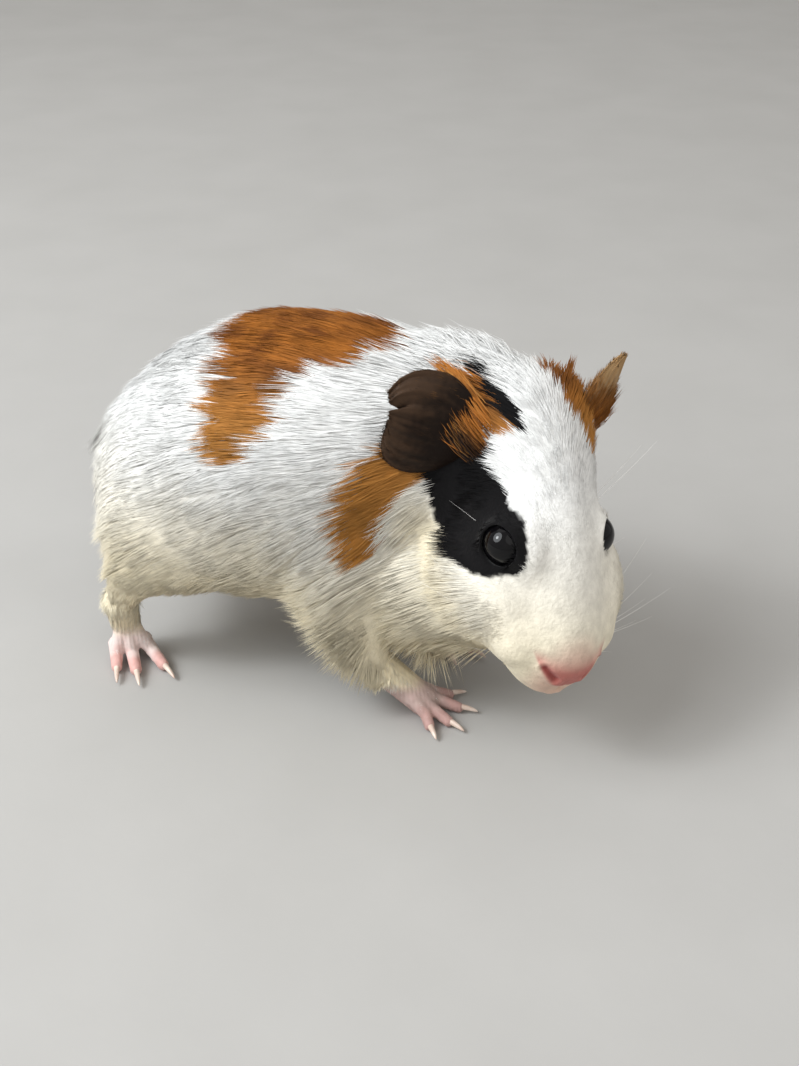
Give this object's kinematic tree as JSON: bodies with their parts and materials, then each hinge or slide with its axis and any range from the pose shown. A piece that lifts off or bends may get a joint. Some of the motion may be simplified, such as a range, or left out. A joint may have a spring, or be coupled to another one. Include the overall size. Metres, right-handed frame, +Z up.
{
  "type": "guinea pig pup",
  "caption": "Life-size still model of a young short-haired guinea pig standing on all fours, head lowered and turned to its right.",
  "frame": {"origin": "middle of the bounding box at floor level, under the belly", "axes": "+X forward along the trunk from rump to shoulders, +Y to the animal's left, +Z up from the floor"},
  "size_m": [0.1108, 0.0586, 0.0757],
  "materials": {
    "coat": "short dense fur, white with ginger and black patches",
    "dark_ear": "thin dark skin with fine hair",
    "ginger_ear": "thin skin with ginger and grey hair",
    "bare_skin": "soft pink skin",
    "claw": "translucent horn",
    "eye": "wet black gloss"
  },
  "bodies": {
    "root": {"torso": "coat", "neck": "coat", "head": "coat", "hindleg_right": "coat", "hindleg_left": "coat", "foreleg_right": "coat", "foreleg_left": "coat", "hindfoot_right": "bare_skin", "hindfoot_left": "bare_skin", "forefoot_right": "bare_skin", "forefoot_left": "bare_skin", "ear_right": "dark_ear", "ear_left": "ginger_ear", "eye_right": "eye", "eye_left": "eye"}
  },
  "joints": []
}
